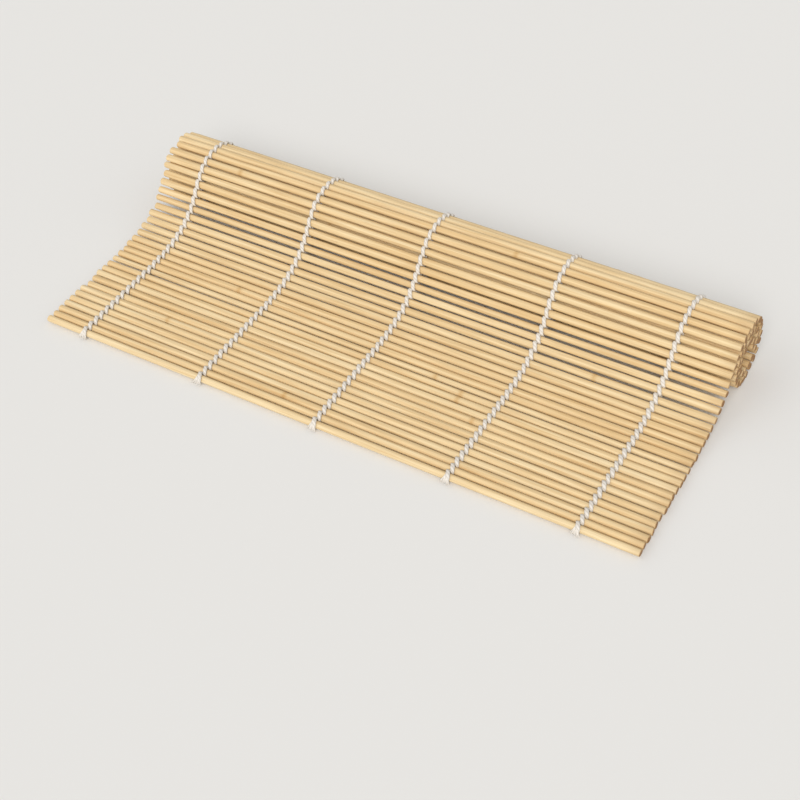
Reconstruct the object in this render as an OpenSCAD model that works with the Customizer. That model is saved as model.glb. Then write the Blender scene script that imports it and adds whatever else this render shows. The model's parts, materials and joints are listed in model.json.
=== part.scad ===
// Sushi rolling mat: round bamboo sticks laid side by side and bound by five twined cotton cords.
// The front part lies flat, then the mat rises and its back end is rolled up, as it lies on a table.
// X runs along the sticks, Y from the front edge to the back, Z up. The table is at Z = 0.
// Each cord is two strands: one passes over a stick while the other passes under it, and they cross
// in the gap before the next stick. A group of sticks with its own piece of cord bends from its
// neighbour at the gap between them.

/* [Sticks] */
// Length of every stick, end to end
stick_len = 240; // [180:1:300]
// Diameter of a round stick
stick_d = 2.6; // [2.2:0.05:3.4]
// Gap between two neighbouring sticks, where the strands cross
stick_gap = 0.68; // [0.6:0.02:1]

/* [Cords] */
// Place of the first cord along the sticks, from the middle
cord_1_x = -102.5; // [-112:0.5:-90]
// Place of the second cord
cord_2_x = -50.5; // [-60:0.5:-40]
// Place of the middle cord
cord_3_x = -2; // [-10:0.5:10]
// Place of the fourth cord
cord_4_x = 50.5; // [40:0.5:60]
// Place of the fifth cord
cord_5_x = 98; // [90:0.5:112]
// Width of one flattened strand
strand_w = 0.8; // [0.6:0.05:1]
// Thickness of one flattened strand
strand_t = 0.4; // [0.3:0.02:0.5]
// Room between the two strands where they cross
strand_gap = 0.3; // [0.26:0.01:0.4]
// Room between a strand and the stick it passes over
strand_clear = 0.03; // [0.02:0.01:0.08]

/* [Knots] */
// Diameter of the knot that ends each cord
knot_d = 1.1; // [0.9:0.05:1.6]
// Length of the two loose tails of a knot
tail_len = 0.7; // [0.4:0.1:2]
// Diameter of a tail
tail_d = 0.6; // [0.4:0.05:0.8]
// Angle between a tail and the line of its cord
tail_splay = 35; // [10:1:45]

/* [Lie of the mat] */
// Sticks that lie flat on the table, from the front edge
flat_sticks = 12; // [8:1:14]
// Stick where the rise reaches its steepest slope
steep_from = 24; // [20:1:25]
// Stick where the roll begins to turn over
steep_to = 27; // [26:1:28]
// Radius of the open core of the roll, to the stick centres
core_r = 4.5; // [4.3:0.1:9]
// Room between two layers of the roll
layer_gap = 0.06; // [0.05:0.01:0.4]

/* [Hidden] */
$fn = 32;
bamboo = [0.87, 0.74, 0.53];
cotton = [0.87, 0.86, 0.84];
// sticks in each group, from the front edge to the inner end of the roll
group_sizes = concat([3, 3, 3, 4], [for (i = [1:5]) 3], [for (i = [1:21]) 2]);
stick_count = first_stick(len(group_sizes)) - 1;
cord_x = [cord_1_x, cord_2_x, cord_3_x, cord_4_x, cord_5_x];
pitch = stick_d + stick_gap;
// each strand runs from one side of the cord to the other on its way over a stick
strand_shift = (strand_w + strand_gap) / 2;
slant = atan2(2 * strand_shift, pitch);
// inside and outside radius of a strand where it lies on its stick
loop_in_r = stick_d / 2 + strand_clear;
loop_out_r = stick_d / 2 / cos(slant) + strand_clear + strand_t;
// a strand stops this angle short of the crossing, which leaves room to bend
loop_trim = 7;
// past this bend from stick to stick, the strands inside the roll are squeezed narrower
free_bend = 28;
layer_step = 2 * loop_out_r + layer_gap;
rolled_sticks = stick_count - steep_to;
roll_r = sqrt(core_r * core_r + rolled_sticks * pitch * layer_step / PI);

function first_stick(g) = g == 0 ? 1 : first_stick(g - 1) + group_sizes[g - 1];

// slope of the sticks before the roll: flat, then a smooth rise, then a straight steep stretch
function rise_slope(k, top) =
    k <= flat_sticks ? 0 :
    k <= steep_from ? top * pow((k - flat_sticks) / (steep_from - flat_sticks), 2) :
    top;
// turn between two neighbouring sticks of the roll, whose radius shrinks by one layer a turn
function roll_turn(slope, top) = pitch / (roll_r - layer_step * (top - slope) / 360) * 180 / PI;
function roll_slopes(top) = [
    for (i = 0, s = top - roll_turn(top, top); i < rolled_sticks; s = s - roll_turn(s, top), i = i + 1) s
];
function all_slopes(top) = concat([for (k = [1:steep_to]) rise_slope(k, top)], roll_slopes(top));
// gap k lies between stick k and stick k + 1, and gap 0 is the front edge
function gap_points(slopes) = [
    for (i = 0, y = 0, z = 0; i <= len(slopes);
        y = y + pitch * cos(slopes[min(i, len(slopes) - 1)]),
        z = z + pitch * sin(slopes[min(i, len(slopes) - 1)]),
        i = i + 1) [y, z]
];
function middles(points) = [for (k = [1:len(points) - 1]) (points[k - 1] + points[k]) / 2];
// steepest slope for which the roll just rests on the table, found by halving
function fit_slope(low, high, n) =
    let (mid = (low + high) / 2)
    n == 0 ? mid :
    lowest_of(middles(gap_points(all_slopes(mid)))) < 0.03 ? fit_slope(mid, high, n - 1) :
    fit_slope(low, mid, n - 1);
function lowest_of(m) = min([for (k = [steep_to + 3:stick_count - 1]) m[k][1]]);

steepest = fit_slope(30, 85, 30);
slopes = all_slopes(steepest);
gaps = gap_points(slopes);
centres = middles(gaps);

// bend from stick k to the next one, and the width of the strand under stick k
function bend(k) = k < 1 || k >= stick_count ? 0 : slopes[k - 1] - slopes[k];
function under_w(k) = strand_w - 0.03 * max(0, bend(k - 1) - free_bend, bend(k) - free_bend);

// reach of a strand loop from its stick, at an angle from the stick's own upward direction
function loop_reach(a) =
    loop_out_r * sqrt(pow(cos(a), 2) + pow(cos(slant) * sin(a), 2)) + strand_w / 2 * sin(slant) * abs(sin(a));
knot_y = loop_reach(90) + knot_d / 2 + 0.05;
front_reach = knot_y + (knot_d / 2 + tail_len) * cos(tail_splay) + tail_d / 2;
back_y = max([for (k = [0:stick_count - 1]) centres[k][0] + loop_reach(slopes[k] + 90)]);
front_y = centres[0][0] - front_reach;
// puts the origin under the middle of the mat, on the table
origin_y = (front_y + back_y) / 2;
table_z = -loop_out_r;

echo(steepest = steepest, slopes = slopes);
echo(gaps = [for (g = gaps) [g[0] - origin_y, g[1] - table_z]]);
echo(pitch = pitch, loop_out_r = loop_out_r, roll_r = roll_r, origin_y = origin_y, table_z = table_z);

// the sub-part to build alone, or all of them

// places its children at stick k, turned to that stick's slope
module at_stick(k) {
    translate([0, centres[k - 1][0] - origin_y, centres[k - 1][1] - table_z])
        rotate([slopes[k - 1], 0, 0])
            children();
}

// one round stick, cut square at both ends
module stick() {
    translate([-stick_len / 2, 0, 0])
        rotate([0, 90, 0])
            cylinder(h = stick_len, d = stick_d);
}

// the strand that passes over a stick, slanted from one side of the cord to the other;
// its inner face follows the round of the stick
module over_strand(width) {
    difference() {
        rotate([0, 0, 90 + slant])
            rotate([90, 0, 0])
                rotate([0, 0, loop_trim])
                    rotate_extrude(angle = 180 - 2 * loop_trim)
                        translate([stick_d / 4, -width / 2])
                            square([loop_out_r - stick_d / 4, width]);
        translate([-pitch / 2, 0, 0])
            rotate([0, 90, 0])
                cylinder(h = pitch, r = loop_in_r);
    }
}

// both strands at one stick: the second passes under it with the same hand of slant
module cord_crossing(k) {
    over_strand(strand_w);
    rotate([0, 180, 0])
        over_strand(under_w(k));
}

// the knot past an end stick, with two loose tails; side is -1 at the front and 1 at the inner end
module knot(side) {
    translate([0, side * knot_y, 0]) {
        sphere(d = knot_d);
        for (turn = [-tail_splay, tail_splay])
            rotate([side * -5, 0, turn])
                rotate([side * -90, 0, 0])
                    cylinder(h = knot_d / 2 + tail_len, d = tail_d);
    }
}

// the sticks of group g
module group_sticks(g) {
    for (k = [first_stick(g):first_stick(g + 1) - 1])
        at_stick(k)
            stick();
}

// the five cords where they bind the sticks of group g
module group_cords(g) {
    for (k = [first_stick(g):first_stick(g + 1) - 1])
        for (x = cord_x)
            at_stick(k)
                translate([x, 0, 0])
                    cord_crossing(k);
}

// the knots of the five cords past stick k
module knots(k, side) {
    for (x = cord_x)
        at_stick(k)
            translate([x, 0, 0])
                knot(side);
}

module sticks_front_1() {
    color(bamboo)
        group_sticks(0);
}

module cords_front_1() {
    color(cotton) {
        group_cords(0);
        knots(1, -1);
    }
}

module sticks_front_2() {
    color(bamboo)
        group_sticks(1);
}

module cords_front_2() {
    color(cotton)
        group_cords(1);
}

module sticks_front_3() {
    color(bamboo)
        group_sticks(2);
}

module cords_front_3() {
    color(cotton)
        group_cords(2);
}

module sticks_base() {
    color(bamboo)
        group_sticks(3);
}

module cords_base() {
    color(cotton)
        group_cords(3);
}

module sticks_rise_1() {
    color(bamboo)
        group_sticks(4);
}

module cords_rise_1() {
    color(cotton)
        group_cords(4);
}

module sticks_rise_2() {
    color(bamboo)
        group_sticks(5);
}

module cords_rise_2() {
    color(cotton)
        group_cords(5);
}

module sticks_rise_3() {
    color(bamboo)
        group_sticks(6);
}

module cords_rise_3() {
    color(cotton)
        group_cords(6);
}

module sticks_rise_4() {
    color(bamboo)
        group_sticks(7);
}

module cords_rise_4() {
    color(cotton)
        group_cords(7);
}

module sticks_rise_5() {
    color(bamboo)
        group_sticks(8);
}

module cords_rise_5() {
    color(cotton)
        group_cords(8);
}

module sticks_roll_01() {
    color(bamboo)
        group_sticks(9);
}

module cords_roll_01() {
    color(cotton)
        group_cords(9);
}

module sticks_roll_02() {
    color(bamboo)
        group_sticks(10);
}

module cords_roll_02() {
    color(cotton)
        group_cords(10);
}

module sticks_roll_03() {
    color(bamboo)
        group_sticks(11);
}

module cords_roll_03() {
    color(cotton)
        group_cords(11);
}

module sticks_roll_04() {
    color(bamboo)
        group_sticks(12);
}

module cords_roll_04() {
    color(cotton)
        group_cords(12);
}

module sticks_roll_05() {
    color(bamboo)
        group_sticks(13);
}

module cords_roll_05() {
    color(cotton)
        group_cords(13);
}

module sticks_roll_06() {
    color(bamboo)
        group_sticks(14);
}

module cords_roll_06() {
    color(cotton)
        group_cords(14);
}

module sticks_roll_07() {
    color(bamboo)
        group_sticks(15);
}

module cords_roll_07() {
    color(cotton)
        group_cords(15);
}

module sticks_roll_08() {
    color(bamboo)
        group_sticks(16);
}

module cords_roll_08() {
    color(cotton)
        group_cords(16);
}

module sticks_roll_09() {
    color(bamboo)
        group_sticks(17);
}

module cords_roll_09() {
    color(cotton)
        group_cords(17);
}

module sticks_roll_10() {
    color(bamboo)
        group_sticks(18);
}

module cords_roll_10() {
    color(cotton)
        group_cords(18);
}

module sticks_roll_11() {
    color(bamboo)
        group_sticks(19);
}

module cords_roll_11() {
    color(cotton)
        group_cords(19);
}

module sticks_roll_12() {
    color(bamboo)
        group_sticks(20);
}

module cords_roll_12() {
    color(cotton)
        group_cords(20);
}

module sticks_roll_13() {
    color(bamboo)
        group_sticks(21);
}

module cords_roll_13() {
    color(cotton)
        group_cords(21);
}

module sticks_roll_14() {
    color(bamboo)
        group_sticks(22);
}

module cords_roll_14() {
    color(cotton)
        group_cords(22);
}

module sticks_roll_15() {
    color(bamboo)
        group_sticks(23);
}

module cords_roll_15() {
    color(cotton)
        group_cords(23);
}

module sticks_roll_16() {
    color(bamboo)
        group_sticks(24);
}

module cords_roll_16() {
    color(cotton)
        group_cords(24);
}

module sticks_roll_17() {
    color(bamboo)
        group_sticks(25);
}

module cords_roll_17() {
    color(cotton)
        group_cords(25);
}

module sticks_roll_18() {
    color(bamboo)
        group_sticks(26);
}

module cords_roll_18() {
    color(cotton)
        group_cords(26);
}

module sticks_roll_19() {
    color(bamboo)
        group_sticks(27);
}

module cords_roll_19() {
    color(cotton)
        group_cords(27);
}

module sticks_roll_20() {
    color(bamboo)
        group_sticks(28);
}

module cords_roll_20() {
    color(cotton)
        group_cords(28);
}

module sticks_roll_21() {
    color(bamboo)
        group_sticks(29);
}

module cords_roll_21() {
    color(cotton) {
        group_cords(29);
        knots(stick_count, 1);
    }
}

sticks_front_1();
cords_front_1();
sticks_front_2();
cords_front_2();
sticks_front_3();
cords_front_3();
sticks_base();
cords_base();
sticks_rise_1();
cords_rise_1();
sticks_rise_2();
cords_rise_2();
sticks_rise_3();
cords_rise_3();
sticks_rise_4();
cords_rise_4();
sticks_rise_5();
cords_rise_5();
sticks_roll_01();
cords_roll_01();
sticks_roll_02();
cords_roll_02();
sticks_roll_03();
cords_roll_03();
sticks_roll_04();
cords_roll_04();
sticks_roll_05();
cords_roll_05();
sticks_roll_06();
cords_roll_06();
sticks_roll_07();
cords_roll_07();
sticks_roll_08();
cords_roll_08();
sticks_roll_09();
cords_roll_09();
sticks_roll_10();
cords_roll_10();
sticks_roll_11();
cords_roll_11();
sticks_roll_12();
cords_roll_12();
sticks_roll_13();
cords_roll_13();
sticks_roll_14();
cords_roll_14();
sticks_roll_15();
cords_roll_15();
sticks_roll_16();
cords_roll_16();
sticks_roll_17();
cords_roll_17();
sticks_roll_18();
cords_roll_18();
sticks_roll_19();
cords_roll_19();
sticks_roll_20();
cords_roll_20();
sticks_roll_21();
cords_roll_21();
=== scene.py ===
import json
import math
import random

import bmesh
import bpy
from mathutils import Matrix, Vector


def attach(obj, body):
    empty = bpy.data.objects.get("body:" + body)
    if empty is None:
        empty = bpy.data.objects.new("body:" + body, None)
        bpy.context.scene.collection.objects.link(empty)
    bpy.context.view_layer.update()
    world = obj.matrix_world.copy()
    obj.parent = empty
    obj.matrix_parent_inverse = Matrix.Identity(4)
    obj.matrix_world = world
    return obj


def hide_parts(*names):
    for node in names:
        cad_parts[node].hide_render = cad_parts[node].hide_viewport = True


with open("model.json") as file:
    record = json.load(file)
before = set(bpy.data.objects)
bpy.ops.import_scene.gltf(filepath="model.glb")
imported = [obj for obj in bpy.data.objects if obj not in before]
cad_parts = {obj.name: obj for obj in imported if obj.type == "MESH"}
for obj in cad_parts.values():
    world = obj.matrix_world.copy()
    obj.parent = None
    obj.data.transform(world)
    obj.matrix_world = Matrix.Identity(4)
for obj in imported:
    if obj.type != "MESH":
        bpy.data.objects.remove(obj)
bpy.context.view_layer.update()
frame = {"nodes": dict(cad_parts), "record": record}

# Sizes, in metres
MM = 0.001
STICK_R = 1.3 * MM
PITCH = 3.28 * MM
LEFT_X, RIGHT_X = -120 * MM, 120 * MM
CORD_X = [x * MM for x in (-102.5, -50.5, -2.0, 50.5, 98.0)]

# A strand of cord: its width and thickness on top of a stick, pressed under or between
# sticks, and in the gap where the two strands cross
FREE_W, FREE_T = 1.64 * MM, 0.92 * MM
PRESSED_W, PRESSED_T = 1.3 * MM, 0.46 * MM
CROSS_W, CROSS_T = 1.3 * MM, 0.52 * MM
# How far a strand goes to each side of its cord, where the mat is flat and on the roll,
# where the bend pulls it straighter
FLAT_SHIFT, ROLL_SHIFT = 0.74 * MM, 0.38 * MM
PLIES = 3
PLY_STEPS = 4  # a strand turns this many plies on its way past one stick
ROLL_TURN = 23  # sticks in the outer turn of the roll, whose tops are free
SPLIT_STICK = 33  # a long sliver stands off this one, on the roll's skyline in the photo


# Camera, first. It is fitted to the stick ends in the photo: where it is in mm, its azimuth,
# elevation and roll in degrees, its focal length in pixels of the photo's frame, and its
# sensor in mm
CAMERA_AT = (222.6, -345.8, 381.3)
CAMERA_TURN = (32.58, 45.01, -3.44)
FOCAL_PX, FRAME_PX = 1535.2, 800
SENSOR = 36


def make_camera():
    """The camera that took the photo."""
    azimuth, elevation, roll = (math.radians(a) for a in CAMERA_TURN)
    data = bpy.data.cameras.new("camera")
    cam = bpy.data.objects.new("camera", data)
    bpy.context.scene.collection.objects.link(cam)
    right = Vector((math.cos(azimuth), math.sin(azimuth), 0))
    back = Vector(
        (
            math.sin(azimuth) * math.cos(elevation),
            -math.cos(azimuth) * math.cos(elevation),
            math.sin(elevation),
        )
    )
    up = back.cross(right)
    side = right * math.cos(roll) + up * math.sin(roll)
    top = up * math.cos(roll) - right * math.sin(roll)
    turned = Matrix((side, top, back)).transposed().to_4x4()
    cam.matrix_world = Matrix.Translation(Vector(CAMERA_AT) * MM) @ turned
    data.sensor_width = SENSOR
    data.lens = FOCAL_PX / FRAME_PX * SENSOR
    data.clip_start, data.clip_end = 0.01, 20
    bpy.context.scene.camera = cam


make_camera()


# Where the sticks lie
def stick_places(node):
    """The centre (y, z) of each stick of a CAD node, from the rims of its right ends. The
    points of one rim are nearer to each other than to those of the next."""
    reach = 0.45 * MM
    points = {
        (round(v.co.y, 6), round(v.co.z, 6))
        for v in frame["nodes"][node].data.vertices
        if v.co.x > RIGHT_X - 0.1 * MM
    }
    points = [Vector(p) for p in points]
    places = []
    while points:
        cluster, queue = [], [points.pop()]
        while queue:
            p = queue.pop()
            cluster.append(p)
            near = [q for q in points if (q - p).length < reach]
            points = [q for q in points if (q - p).length >= reach]
            queue += near
        ys, zs = [p.x for p in cluster], [p.y for p in cluster]
        places.append(Vector(((min(ys) + max(ys)) / 2, (min(zs) + max(zs)) / 2)))
    return places


def all_sticks():
    """[{body, at, slope}] from the front edge to the inner end of the roll."""
    sticks, last = [], Vector((-1, 0))
    for body in frame["record"]["behaviour"]["bodies"]:
        places = stick_places(f"sticks_{body}")
        while places:
            nearest = min(places, key=lambda p: (p - last).length)
            places.remove(nearest)
            sticks.append({"body": body, "at": nearest})
            last = nearest
    steps = [b["at"] - a["at"] for a, b in zip(sticks, sticks[1:])]
    for i, s in enumerate(sticks):
        before, after = steps[max(i - 1, 0)], steps[min(i, len(steps) - 1)]
        mean = before.normalized() + after.normalized()
        s["slope"] = math.atan2(mean.y, mean.x)
    return sticks


sticks = all_sticks()
bodies = list(frame["record"]["behaviour"]["bodies"])


# Materials
def new_material(name):
    """A new material, its node tree and its Principled shader."""
    m = bpy.data.materials.new(name)
    m.use_nodes = True
    nt = m.node_tree
    return m, nt, nt.nodes["Principled BSDF"]


def node(nt, kind, **inputs):
    """A new node with some of its inputs set by name."""
    n = nt.nodes.new(kind)
    for key, value in inputs.items():
        n.inputs[key.replace("_", " ")].default_value = value
    return n


def ramp(nt, stops):
    """A colour ramp through stops = [(place, colour)]."""
    n = nt.nodes.new("ShaderNodeValToRGB")
    els = n.color_ramp.elements
    while len(els) < len(stops):
        els.new(0.5)
    for e, (at, colour) in zip(els, stops):
        e.position = at
        e.color = (*colour, 1)
    return n


def mixed(nt, blend_type, factor, a, b):
    """A colour mix whose inputs may be sockets or values."""
    n = nt.nodes.new("ShaderNodeMix")
    n.data_type = "RGBA"
    n.blend_type = blend_type
    for socket, value in ((n.inputs[0], factor), (n.inputs[6], a), (n.inputs[7], b)):
        if isinstance(value, bpy.types.NodeSocket):
            nt.links.new(value, socket)
        else:
            socket.default_value = value
    return n.outputs[2]


def bamboo():
    """Split, rounded bamboo: fine fibres along X, warm tan, each stick with its own tint."""
    m, nt, bsdf = new_material("bamboo")
    link = nt.links.new
    coords = nt.nodes.new("ShaderNodeTexCoord")
    own = nt.nodes.new("ShaderNodeAttribute")
    own.attribute_name = "own_grain"
    spot = nt.nodes.new("ShaderNodeVectorMath")
    link(coords.outputs["Object"], spot.inputs[0])
    link(own.outputs["Fac"], spot.inputs[1])

    def stretched(scale, detail, roughness):
        """Noise drawn out along the stick, at this scale along and across it."""
        mapping = nt.nodes.new("ShaderNodeMapping")
        mapping.inputs["Scale"].default_value = scale
        link(spot.outputs[0], mapping.inputs["Vector"])
        noise = node(nt, "ShaderNodeTexNoise", Scale=1.0, Detail=detail, Roughness=roughness)
        link(mapping.outputs[0], noise.inputs["Vector"])
        return noise

    fibres = stretched((50, 2200, 2200), 3.0, 0.6)
    streaks = stretched((34, 1000, 1000), 2.0, 0.5)
    patches = stretched((22, 260, 260), 2.0, 0.5)
    tint = nt.nodes.new("ShaderNodeAttribute")
    tint.attribute_name = "tint"
    base = ramp(
        nt,
        [
            (0.0, (0.72, 0.46, 0.21)),
            (0.3, (0.80, 0.59, 0.32)),
            (0.6, (0.845, 0.675, 0.41)),
            (1.0, (0.875, 0.735, 0.485)),
        ],
    )
    link(tint.outputs["Fac"], base.inputs["Fac"])
    grain = ramp(nt, [(0.30, (0.74, 0.66, 0.56)), (0.62, (1.0, 1.0, 1.0))])
    link(fibres.outputs["Fac"], grain.inputs["Fac"])
    patch = ramp(nt, [(0.32, (0.92, 0.84, 0.72)), (0.66, (1.0, 1.0, 1.0))])
    link(patches.outputs["Fac"], patch.inputs["Fac"])
    streak = ramp(nt, [(0.34, (0.86, 0.77, 0.64)), (0.6, (1.0, 1.0, 1.0))])
    link(streaks.outputs["Fac"], streak.inputs["Fac"])
    colour = mixed(nt, "MULTIPLY", 0.6, base.outputs[0], grain.outputs[0])
    colour = mixed(nt, "MULTIPLY", 0.6, colour, streak.outputs[0])
    colour = mixed(nt, "MULTIPLY", 0.6, colour, patch.outputs[0])
    ends = nt.nodes.new("ShaderNodeAttribute")
    ends.attribute_name = "end_grain"
    dots = node(nt, "ShaderNodeTexVoronoi", Scale=2600.0)
    link(coords.outputs["Object"], dots.inputs["Vector"])
    pith = ramp(nt, [(0.1, (0.12, 0.05, 0.015)), (0.5, (0.34, 0.17, 0.055))])
    link(dots.outputs["Distance"], pith.inputs["Fac"])
    colour = mixed(nt, "MIX", ends.outputs["Fac"], colour, pith.outputs[0])
    rings = nt.nodes.new("ShaderNodeAttribute")
    rings.attribute_name = "knuckle"
    colour = mixed(nt, "MULTIPLY", rings.outputs["Fac"], colour, (0.84, 0.74, 0.60, 1))
    link(colour, bsdf.inputs["Base Color"])
    bsdf.inputs["Roughness"].default_value = 0.6
    bsdf.inputs["Specular IOR Level"].default_value = 0.3
    bump = node(nt, "ShaderNodeBump", Strength=0.25, Distance=0.00012)
    link(fibres.outputs["Fac"], bump.inputs["Height"])
    link(bump.outputs[0], bsdf.inputs["Normal"])
    return m


def cotton():
    """White cotton: plies of fine fibres, with shade painted into the grooves between them, along
    the mesh's UVs.
    """
    m, nt, bsdf = new_material("cotton")
    link = nt.links.new
    uv = nt.nodes.new("ShaderNodeUVMap")
    uv.uv_map = "along"
    across = nt.nodes.new("ShaderNodeSeparateXYZ")
    link(uv.outputs[0], across.inputs[0])
    ply = nt.nodes.new("ShaderNodeMath")
    ply.operation = "PINGPONG"
    ply.inputs[1].default_value = 0.5
    link(across.outputs["Y"], ply.inputs[0])
    fibre_scale = nt.nodes.new("ShaderNodeMapping")
    fibre_scale.inputs["Scale"].default_value = (0.9, 9.0, 1.0)
    link(uv.outputs[0], fibre_scale.inputs["Vector"])
    fibres = node(nt, "ShaderNodeTexNoise", Scale=1.6, Detail=3.0, Roughness=0.65)
    link(fibre_scale.outputs[0], fibres.inputs["Vector"])
    # painted shade: colour darkest in the groove between plies and lightest on top of each ply
    painted_groove_shade = ramp(
        nt, [(0.0, (0.64, 0.58, 0.50)), (0.2, (0.81, 0.755, 0.68)), (0.5, (0.87, 0.82, 0.755))]
    )
    link(ply.outputs[0], painted_groove_shade.inputs["Fac"])
    streak = ramp(nt, [(0.3, (0.86, 0.85, 0.84)), (0.62, (1.0, 1.0, 1.0))])
    link(fibres.outputs["Fac"], streak.inputs["Fac"])
    colour = mixed(nt, "MULTIPLY", 0.7, painted_groove_shade.outputs[0], streak.outputs[0])
    link(colour, bsdf.inputs["Base Color"])
    bsdf.inputs["Roughness"].default_value = 0.9
    bsdf.inputs["Specular IOR Level"].default_value = 0.2
    bsdf.inputs["Sheen Weight"].default_value = 0.25
    height = nt.nodes.new("ShaderNodeMath")
    height.operation = "MULTIPLY_ADD"
    height.inputs[1].default_value = 0.6
    link(fibres.outputs["Fac"], height.inputs[0])
    link(ply.outputs[0], height.inputs[2])
    bump = node(nt, "ShaderNodeBump", Strength=0.6, Distance=0.00015)
    link(height.outputs[0], bump.inputs["Height"])
    link(bump.outputs[0], bsdf.inputs["Normal"])
    return m


def floor_paint():
    """Plain pale paint for the floor."""
    m, _, bsdf = new_material("floor")
    bsdf.inputs["Base Color"].default_value = (0.80, 0.79, 0.77, 1)
    bsdf.inputs["Roughness"].default_value = 0.8
    return m


BAMBOO, COTTON, FLOOR = bamboo(), cotton(), floor_paint()


# Sticks
def clear_of_cords(sliver):
    """Whether no cord crosses a sliver between its root and its tip."""
    root, _, length, _ = sliver
    room = 1.8 * MM
    return all(x > root + room or x < root - length - room for x in CORD_X)


def stick_shape(number):
    """What is uneven about one stick: its thickness, section, ends, lean, bow, knuckle,
    slivers, tint and grain. A section of 2 is round, and a higher one is squarer."""
    r = random.Random(100 + number)
    slim = r.random() < 0.06
    golden = r.random() < 0.07
    # loose slivers: where one is rooted, which way it faces, its length and how far it lifts
    splinters = [
        (
            r.uniform(-100, 110) * MM,
            math.radians(r.uniform(60, 120)),
            r.uniform(2, 5) * MM,
            r.uniform(0.1, 0.4) * MM,
        )
        for _ in range(r.choice([0, 0, 0, 0, 1]))
    ]
    if number == SPLIT_STICK:
        splinters.append((79 * MM, math.radians(90), 8 * MM, 0.9 * MM))
    # no sliver stands where a cord would bind it down
    splinters = [sliver for sliver in splinters if clear_of_cords(sliver)]
    return {
        "splinters": splinters,
        "cut": [r.uniform(-0.16, 0.16) * MM for _ in range(2)],
        "radius": STICK_R * (r.uniform(0.85, 0.9) if slim else r.uniform(0.975, 1.03)),
        "tint": r.uniform(0.12, 0.3) if golden else min(max(r.gauss(0.6, 0.1), 0.35), 0.95),
        "left": LEFT_X + r.choice([0, 0, 0.2, 0.4, 0.8, 1.3]) * MM * r.uniform(0.3, 1),
        "right": RIGHT_X - r.uniform(0, 0.35) * MM,
        "shift": r.uniform(-0.11, 0.11) * MM,
        "lean": r.uniform(-0.2, 0.2) * MM,
        "bow": r.uniform(-0.18, 0.18) * MM,
        "wave": r.uniform(-0.06, 0.06) * MM,
        "phase": [r.uniform(0, 6.28) for _ in range(4)],
        "knuckle": r.uniform(-0.85, 0.85) if r.random() < 0.3 else None,
        "section": r.uniform(2.0, 2.9),
        "grain": r.uniform(0, 4),
    }


def stick_offset(shape, x):
    """How far a stick's middle lies along the mat from where a straight one would, at x."""
    s = x / RIGHT_X
    return (
        shape["shift"]
        + shape["lean"] * s
        + shape["bow"] * (0.5 - s * s)
        + shape["wave"] * math.sin(5 * s + shape["phase"][1])
    )


def stick_radius(shape, x):
    """The radius at x: a slow swell, and a small ring at the bamboo's knuckle."""
    s = x / RIGHT_X
    radius = shape["radius"] * (1 + 0.015 * math.sin(5 * s + shape["phase"][0]))
    if shape["knuckle"] is not None:
        radius *= 1 + 0.03 * math.exp(-(((s - shape["knuckle"]) / 0.006) ** 2))
    return min(radius, 1.03 * STICK_R)


def stick_frame(index):
    """A stick's centre line point at x = 0, the way on along the mat, and the way out."""
    s = sticks[index]
    along = Vector((0, math.cos(s["slope"]), math.sin(s["slope"])))
    out = Vector((0, -math.sin(s["slope"]), math.cos(s["slope"])))
    return Vector((0, s["at"].x, s["at"].y)), along, out


def stick_rings(shape):
    """[(x, share of the radius)] from end to end, with a small round edge at each cut."""
    edge = [(0, 0.80), (0.10 * MM, 0.91), (0.26 * MM, 0.975), (0.5 * MM, 1)]
    left, right = shape["left"], shape["right"]
    steps = 38
    first, last = left + edge[-1][0], right - 0.3 * MM
    rings = [(left + x, share) for x, share in edge]
    rings += [(first + (last - first) * i / steps, 1) for i in range(1, steps)]
    rings += [(last, 1), (right - 0.1 * MM, 0.975), (right, 0.92)]
    if shape["knuckle"] is not None:
        middle = shape["knuckle"] * RIGHT_X
        rings += [(middle + d * MM, 1) for d in (-1.4, -0.7, 0, 0.7, 1.4)]
    return sorted(rings)


def add_splinter(bm, shape, along, out, splinter):
    """A tapered sliver that peels off the side of a stick."""
    root, angle, length, lift = splinter
    way = along * math.cos(angle) + out * math.sin(angle)
    across = along * math.sin(angle) - out * math.cos(angle)
    rows = []
    for i in range(7):
        f = i / 6
        x = root - length * f
        middle = Vector((x, 0, 0)) + along * stick_offset(shape, x)
        base = middle + way * (stick_radius(shape, x) * 0.98 + lift * f * f)
        w, t = 0.16 * MM * (1 - 0.85 * f), 0.06 * MM * (1 - 0.7 * f)
        corners = ((-w, 0), (0, -t), (w, 0), (0, t))
        rows.append([bm.verts.new(base + across * a + way * b) for a, b in corners])
    for a, b in zip(rows, rows[1:]):
        for j in range(4):
            k = (j + 1) % 4
            bm.faces.new((a[j], a[k], b[k], b[j])).smooth = True
    bm.faces.new(rows[0][::-1])
    bm.faces.new(rows[-1])


def cap_stick(bm, ends, rows, r):
    """Closes both ends of a stick with a cut face, sharp at its rim, that shows end grain."""
    for row, step in ((rows[0], -1), (rows[-1], 1)):
        rim = [bm.verts.new(v.co) for v in row]
        middle = bm.verts.new(sum((v.co for v in rim), Vector()) / len(rim))
        middle.co.x += r.uniform(-0.05, 0.08) * step * MM
        for v in (*rim, middle):
            v[ends] = 1
        for a, b in zip(rim, rim[1:] + rim[:1]):
            bm.faces.new((middle, b, a) if step < 0 else (middle, a, b))


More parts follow.
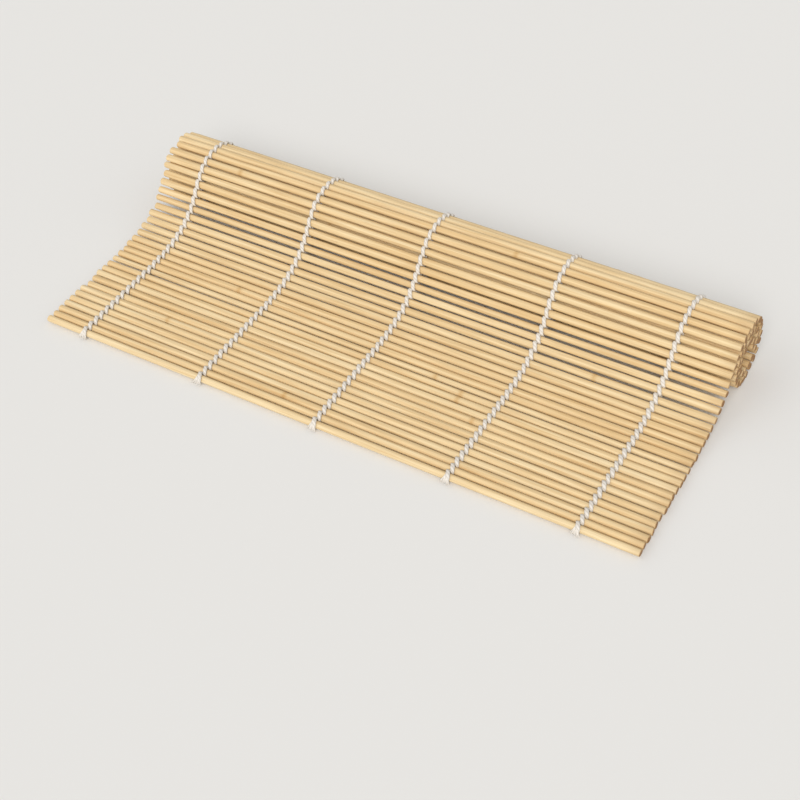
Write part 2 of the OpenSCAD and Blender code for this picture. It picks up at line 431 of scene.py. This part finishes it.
def make_stick(index):
    """A bamboo stick, nearly round and a little uneven along its length."""
    shape = shapes[index]
    r = random.Random(300 + index)
    sides = 24
    centre, along, out = stick_frame(index)
    turn = r.uniform(0, 6.28)
    power = shape["section"]
    mesh = bpy.data.meshes.new(f"stick_{index + 1:02d}")
    bm = bmesh.new()
    ends = bm.verts.layers.float.new("end_grain")
    knuckle = bm.verts.layers.float.new("knuckle")
    rows = []
    for x, share in stick_rings(shape):
        s = x / RIGHT_X
        ring = 0
        if shape["knuckle"] is not None:
            ring = math.exp(-(((s - shape["knuckle"]) / 0.008) ** 2))
        # the saw browns the rim of the right end
        browned = 0.75 * max(0, 1 - (shape["right"] - x) / (0.4 * MM))
        middle = Vector((x, 0, 0)) + along * stick_offset(shape, x)
        row = []
        for j in range(sides):
            a = 2 * math.pi * j / sides
            uneven = 0.012 * math.sin(2 * a + shape["phase"][2] + s)
            uneven += 0.008 * math.sin(3 * a + shape["phase"][3])
            corner = (abs(math.cos(a)) ** power + abs(math.sin(a)) ** power) ** (-1 / power)
            radius = stick_radius(shape, x) * (0.98 + uneven) * corner
            radius = min(radius, 1.06 * STICK_R) * share
            spot = middle + (along * math.cos(a + turn) + out * math.sin(a + turn)) * radius
            # the saw cut is a little askew
            for cut, end in zip(shape["cut"], (shape["left"], shape["right"])):
                if abs(x - end) < 0.6 * MM:
                    spot.x += cut * math.cos(a)
            v = bm.verts.new(spot)
            v[knuckle] = ring
            v[ends] = browned
            row.append(v)
        rows.append(row)
    for a, b in zip(rows, rows[1:]):
        for j in range(sides):
            k = (j + 1) % sides
            bm.faces.new((a[j], a[k], b[k], b[j])).smooth = True
    cap_stick(bm, ends, rows, r)
    for splinter in shape["splinters"]:
        add_splinter(bm, shape, along, out, splinter)
    bm.normal_update()
    bm.to_mesh(mesh)
    bm.free()
    tint = mesh.attributes.new("tint", "FLOAT", "POINT")
    tint.data.foreach_set("value", [shape["tint"]] * len(mesh.vertices))
    own = mesh.attributes.new("own_grain", "FLOAT", "POINT")
    own.data.foreach_set("value", [shape["grain"]] * len(mesh.vertices))
    mesh.materials.append(BAMBOO)
    obj = bpy.data.objects.new(mesh.name, mesh)
    bpy.context.scene.collection.objects.link(obj)
    obj.location = centre
    body = sticks[index]["body"]
    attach(obj, body)
    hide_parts(f"sticks_{body}")


shapes = [stick_shape(number) for number in range(1, len(sticks) + 1)]
for index in range(len(sticks)):
    make_stick(index)


# Cords
def sweep(bm, uv_layer, path, plies=0, vertices=4, turn=0.0):
    """A tube through path = [(point, side, out, half width, half thickness)]; its plies twist
    by turn in all, and it has this many vertices a ply."""
    sides = max(plies, 1) * vertices
    rows, travelled, last = [], 0.0, path[0][0]
    for i, (p, side, out, w, t) in enumerate(path):
        travelled += (p - last).length
        last = p
        row = []
        for j in range(sides):
            a = 2 * math.pi * j / sides + turn * i / (len(path) - 1)
            ca, sa = math.cos(a), math.sin(a)
            # a little squarer than an ellipse, as a pressed strand is
            k = 1 / (abs(ca) ** 2.5 + abs(sa) ** 2.5) ** 0.4
            if plies and j % vertices == 0:
                k *= 0.84
            row.append(bm.verts.new(p + side * (w * ca * k) + out * (t * sa * k)))
        rows.append((row, travelled / MM))
    for (a, u0), (b, u1) in zip(rows, rows[1:]):
        for j in range(sides):
            k = (j + 1) % sides
            f = bm.faces.new((a[j], a[k], b[k], b[j]))
            f.smooth = True
            v0, v1 = j / vertices, (j + 1) / vertices
            for loop, spot in zip(f.loops, ((u0, v0), (u0, v1), (u1, v1), (u1, v0))):
                loop[uv_layer].uv = spot
    for (row, u), flip in ((rows[0], True), (rows[-1], False)):
        f = bm.faces.new(row[::-1] if flip else row)
        for loop in f.loops:
            loop[uv_layer].uv = (u, 0.5)


def spine(points, widths, centre):
    """Gives each point its side and outward directions, for sweep()."""
    path = []
    for i, (p, (w, t)) in enumerate(zip(points, widths)):
        ahead = (points[min(i + 1, len(points) - 1)] - points[max(i - 1, 0)]).normalized()
        away = (p - Vector((p.x, centre.y, centre.z))).normalized()
        side = ahead.cross(away).normalized()
        path.append((p, side, side.cross(ahead).normalized(), w / 2, t / 2))
    return path


def middle_at(index, x):
    """The middle of a stick at x, or where one more stick past either end would be."""
    inside = min(max(index, 0), len(sticks) - 1)
    centre, along, _ = stick_frame(inside)
    beyond = (index - inside) * PITCH
    return centre + Vector((x, 0, 0)) + along * (stick_offset(shapes[inside], x) + beyond)


def strand_path(cord_x, index, over, size):
    """One strand past one stick: from the gap before it, over or under it, to the gap after.
    Its size is a share of the usual width."""
    out = stick_frame(index)[2]
    here = middle_at(index, cord_x)
    before = (middle_at(index - 1, cord_x) - here) / 2
    after = (middle_at(index + 1, cord_x) - here) / 2
    sign = 1 if over else -1
    near_roll = min(max((index - roll_start + 8) / 8, 0), 1)
    shift = FLAT_SHIFT + (ROLL_SHIFT - FLAT_SHIFT) * near_roll
    free = over and index < roll_start + ROLL_TURN
    top_w, top_t = (FREE_W - 0.1 * MM * near_roll, FREE_T) if free else (PRESSED_W, PRESSED_T)
    radius = stick_radius(shapes[index], cord_x)
    down = -sign * out.z
    if down > 0.2:
        # the table presses it flat
        top_t = min(top_t, max(here.z / down - radius, 0.3 * MM))
    high = radius + top_t / 2
    steps = 14
    points, widths = [], []
    for i in range(steps + 1):
        a = math.pi * i / steps
        lift = math.sin(a)
        base = before * max(math.cos(a), 0) + after * max(-math.cos(a), 0)
        sideways = Vector((shift * math.cos(a) * sign, 0, 0))
        points.append(here + base + sideways + out * (high * lift**0.48 * sign))
        flat = lift**0.6
        widths.append(
            (
                (CROSS_W + (top_w - CROSS_W) * flat) * size,
                CROSS_T + (top_t - CROSS_T) * flat,
            )
        )
    return spine(points, widths, here)


def add_fuzz(bm, uv_layer, path, count, r):
    """Loose cotton hairs that stand off the top of a strand."""
    for _ in range(count):
        p, side, out, w, t = path[r.randrange(3, len(path) - 3)]
        spread = r.uniform(-0.9, 0.9)
        root = p + side * (w * spread) + out * (t * 0.85 * math.sqrt(1 - spread**2))
        ahead = side.cross(out)
        way = side * (spread + r.uniform(-0.5, 0.5)) + out * 0.55 + ahead * r.uniform(-1, 1)
        way.normalize()
        curl = (side * r.uniform(-1, 1) + ahead * r.uniform(-1, 1)) * 0.5
        length = r.uniform(0.35, 0.95) * MM
        hair = []
        for i in range(5):
            f = i / 4
            spot = root + way * (length * f) + curl * (length * f * f)
            thin = 0.016 * MM * (1 - 0.6 * f)
            hair.append((spot, side, out, thin, thin))
        sweep(bm, uv_layer, hair, vertices=3)


def tuft(bm, uv_layer, index, cord_x, direction, r):
    """The cut end of a cord past an end stick: its plies flare over the stick's face."""
    _, along, up = stick_frame(index)
    along = along * direction
    here = middle_at(index, cord_x)
    for k in range(16):
        lean = -1 + 2 * k / 15 + r.uniform(-0.12, 0.12)
        start = here + along * (0.5 * MM) + up * (1.5 * MM)
        start.x += lean * 0.5 * MM
        knee = here + along * (r.uniform(1.75, 2.0) * MM) + up * (r.uniform(0.9, 1.2) * MM)
        knee.x += lean * 0.75 * MM
        end = here + along * (r.uniform(2.0, 2.7) * MM) + up * (r.uniform(-1.1, -0.5) * MM)
        end.x += (lean * 1.75 - 0.1) * MM
        points, widths = [], []
        for i in range(8):
            f = i / 7
            points.append(start.lerp(knee, f).lerp(knee.lerp(end, f), f))
            w = (0.46 - 0.22 * f) * MM
            widths.append((w, w * 0.85))
        sweep(bm, uv_layer, spine(points, widths, here), vertices=6)


def make_cords(body):
    """The five cords where they bind one group of sticks, as one piece. Hairs stand off the
    strands on top, and not off those at the underside of the roll."""
    indices = [i for i, s in enumerate(sticks) if s["body"] == body]
    bm = bmesh.new()
    uv_layer = bm.loops.layers.uv.new("along")
    turn = 2 * math.pi / PLIES * PLY_STEPS
    for column, cord_x in enumerate(CORD_X):
        for i in indices:
            r = random.Random(1000 * column + i)
            x = cord_x + r.uniform(-0.07, 0.07) * MM
            for over in (True, False):
                path = strand_path(x, i, over, r.uniform(0.93, 1.07))
                sweep(bm, uv_layer, path, plies=PLIES, turn=turn)
                if over and stick_frame(i)[2].z > -0.3:
                    add_fuzz(bm, uv_layer, path, 3, r)
        if indices[0] == 0:
            tuft(bm, uv_layer, 0, cord_x, -1, random.Random(50 + column))
        if indices[-1] == len(sticks) - 1:
            tuft(bm, uv_layer, indices[-1], cord_x, 1, random.Random(80 + column))
    mesh = bpy.data.meshes.new(f"cord_{body}")
    bm.to_mesh(mesh)
    bm.free()
    mesh.materials.append(COTTON)
    obj = bpy.data.objects.new(f"cord_{body}", mesh)
    bpy.context.scene.collection.objects.link(obj)
    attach(obj, body)
    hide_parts(f"cords_{body}")


roll_start = next(i for i, s in enumerate(sticks) if s["body"].startswith("roll"))
for body in bodies:
    make_cords(body)


# Floor and light
def make_stage():
    """A pale floor, a pale world, and two soft lights that light the whole floor evenly."""
    mesh = bpy.data.meshes.new("floor")
    bm = bmesh.new()
    bmesh.ops.create_grid(bm, x_segments=1, y_segments=1, size=6)
    bm.to_mesh(mesh)
    bm.free()
    mesh.materials.append(FLOOR)
    floor = bpy.data.objects.new("floor", mesh)
    bpy.context.scene.collection.objects.link(floor)

    world = bpy.data.worlds.new("world")
    bpy.context.scene.world = world
    world.use_nodes = True
    world.node_tree.nodes["Background"].inputs[0].default_value = (1, 0.99, 0.97, 1)
    world.node_tree.nodes["Background"].inputs[1].default_value = 0.54
    for name, strength, width, place in (
        ("key", 1.92, 33, (1.2, -3.3, 3.1)),
        ("fill", 0.28, 44, (-2.6, -3.0, 3.0)),
    ):
        data = bpy.data.lights.new(name, "SUN")
        data.energy = strength
        data.angle = math.radians(width)
        lamp = bpy.data.objects.new(name, data)
        bpy.context.scene.collection.objects.link(lamp)
        lamp.location = place
        lamp.rotation_euler = (-Vector(place)).to_track_quat("-Z", "Y").to_euler()


make_stage()

scene = bpy.context.scene
scene.view_settings.view_transform = "Standard"
